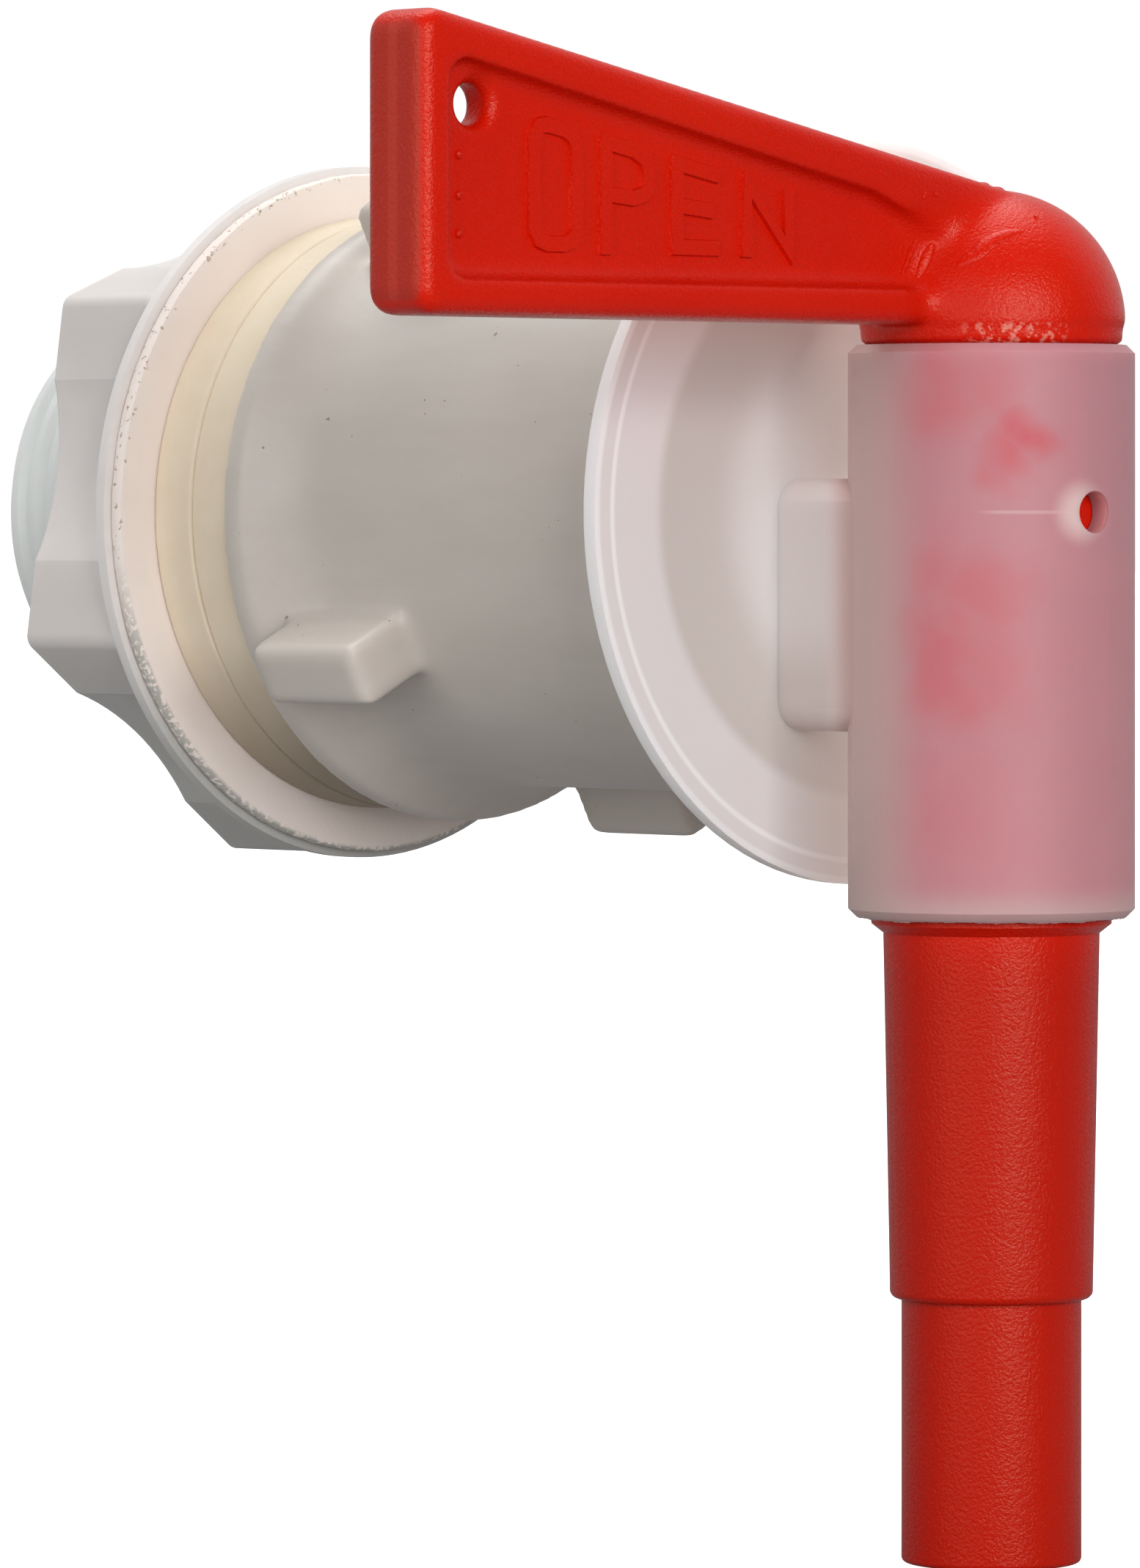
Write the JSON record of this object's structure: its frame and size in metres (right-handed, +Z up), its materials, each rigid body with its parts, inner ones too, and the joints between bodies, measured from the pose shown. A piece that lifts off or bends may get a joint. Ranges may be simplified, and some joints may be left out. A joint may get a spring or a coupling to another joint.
{
  "type": "bottling spigot",
  "caption": "Plug-type bottling tap: lever on top, stepped hose spout below, and a hollow threaded stem with clamp collar, gaskets, washer and lobed hand nut for a container wall.",
  "frame": {"origin": "on the stem axis, on the face between the two gaskets, where the container's wall is clamped", "axes": "+Y along the threaded stem into the container, +Z up along the plug with the spout pointing down, the lever along -X with the tap open, as in the picture"},
  "size_m": [0.0634, 0.0764, 0.0818],
  "materials": {
    "natural_plastic": "satin, translucent",
    "red_plastic": "gloss",
    "collar_plastic": "satin",
    "cream_rubber": "matte",
    "washer_plastic": "matte, ragged edge",
    "nut_plastic": "satin, slightly translucent"
  },
  "bodies": {
    "tap": {"tap_body": "natural_plastic", "clamp_collar": "collar_plastic", "front_gasket": "cream_rubber", "rear_gasket": "cream_rubber"},
    "lever": {"lever_spout": "red_plastic"},
    "washer": {"flat_washer": "washer_plastic"},
    "nut": {"back_nut": "nut_plastic"}
  },
  "joints": [
    {"name": "handle_turn", "type": "hinge", "parent": "tap", "child": "lever", "pos_m": [0, -0.0461, 0], "axis": [0, 0, 1], "range_deg": [-20, 200]},
    {"name": "nut_travel", "type": "slide", "parent": "tap", "child": "washer", "axis": [0, 1, 0], "range_m": [0, 0.00905]},
    {"name": "nut_turn", "type": "hinge", "parent": "washer", "child": "nut", "pos_m": [0, 0, 0], "axis": [0, 1, 0], "range_deg": [0, 2160]}
  ],
  "couplings": [
    {"joint": "nut_travel", "follows": "nut_turn", "m_per_rad": 0.00023873}
  ]
}
